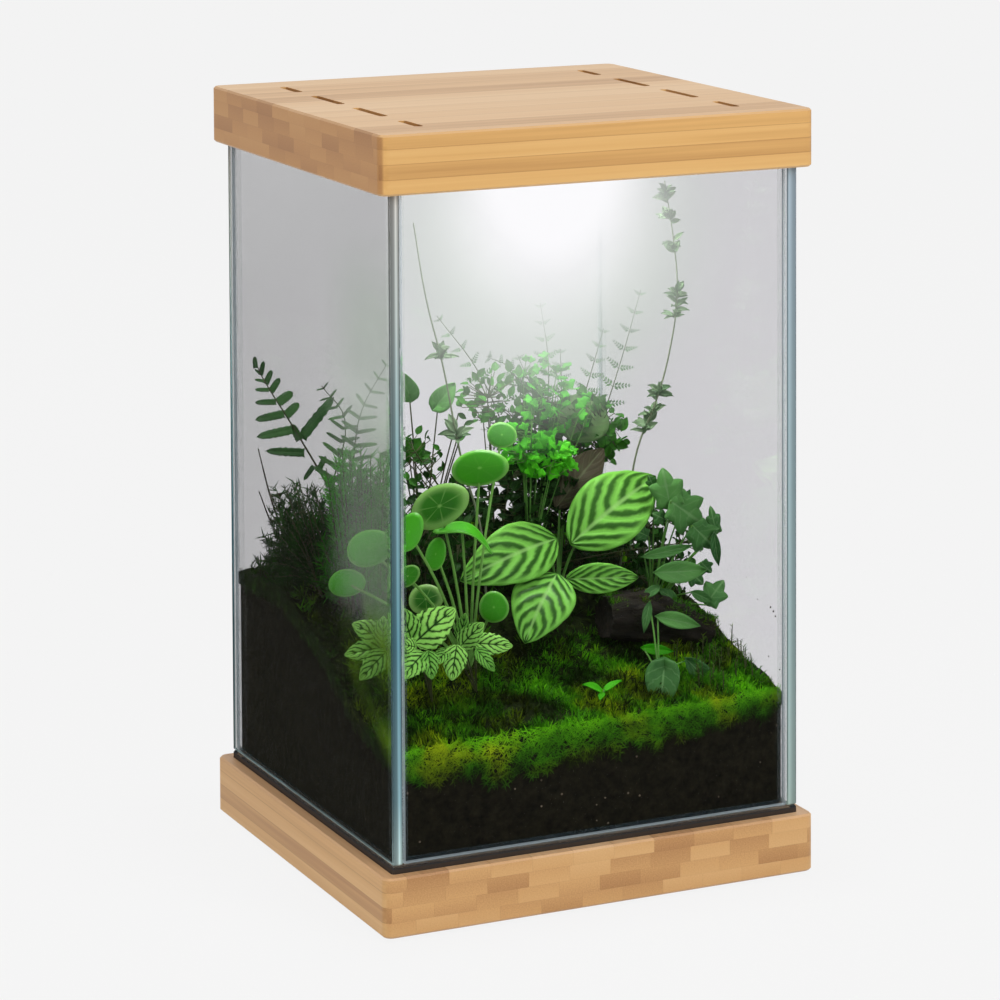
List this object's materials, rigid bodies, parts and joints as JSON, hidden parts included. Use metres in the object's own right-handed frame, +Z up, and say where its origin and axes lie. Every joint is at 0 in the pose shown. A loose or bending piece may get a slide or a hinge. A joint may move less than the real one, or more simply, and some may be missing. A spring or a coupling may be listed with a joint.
{
  "type": "planted terrarium with lamp lid",
  "caption": "Square glass planted terrarium on a bamboo tray, with a slotted bamboo lid that holds a lamp.",
  "frame": {"origin": "the middle of the ground under the four foot pads", "axes": "+X to the right along the front, +Y towards the back, where the power inlet is, +Z up"},
  "size_m": [0.212, 0.212, 0.353],
  "materials": {
    "bamboo_base": "satin",
    "bamboo_lid": "satin",
    "rubber_pad": "matte",
    "clear_glass": "polished",
    "clear_seal": "satin",
    "lamp_metal": "satin",
    "lamp_board": "matte",
    "lamp_chip": "gloss",
    "opal_sheet": "matte",
    "white_plastic": "matte",
    "lead_jacket": "matte",
    "black_plastic": "gloss",
    "soil": "matte",
    "moss": "matte",
    "driftwood": "matte",
    "striped_leaf": "satin",
    "coin_leaf": "gloss",
    "pale_leaf": "satin",
    "bright_leaf": "satin",
    "fern_leaf": "matte",
    "dark_leaf": "satin"
  },
  "bodies": {
    "base": {"base_tray": "bamboo_base", "foot_pads": "rubber_pad"},
    "tank": {"bottom_pane": "clear_glass", "front_pane": "clear_glass", "back_pane": "clear_glass", "left_pane": "clear_glass", "right_pane": "clear_glass", "floor_seam": "clear_seal", "corner_seams": "clear_seal", "soil_bed": "soil", "moss_carpet": "moss", "driftwood": "driftwood", "moss_sprigs": "moss", "prayer_plant": "striped_leaf", "coin_plant": "coin_leaf", "nerve_plant": "pale_leaf", "maidenhair_fern": "bright_leaf", "sword_fern": "fern_leaf", "feather_fern": "fern_leaf", "ivy_vine": "dark_leaf", "arrow_vine": "dark_leaf", "seedling": "bright_leaf", "tall_vine": "fern_leaf", "tall_reed": "fern_leaf", "back_creeper": "fern_leaf", "dark_bush": "dark_leaf", "clubmoss": "fern_leaf", "dead_twigs": "driftwood"},
    "lid": {"lid_board": "bamboo_lid", "lid_rim": "bamboo_lid", "lamp_tray": "lamp_metal", "lamp_board": "lamp_board", "lamp_chips": "lamp_chip", "lamp_diffuser": "opal_sheet", "terminal_block": "white_plastic", "lamp_lead": "lead_jacket", "power_inlet": "black_plastic"}
  },
  "joints": [
    {"name": "tank_lift", "type": "slide", "parent": "base", "child": "tank", "axis": [0, 0, 1], "range_m": [0, 0.03]},
    {"name": "lid_lift", "type": "slide", "parent": "tank", "child": "lid", "axis": [0, 0, 1], "range_m": [0, 0.1]}
  ]
}
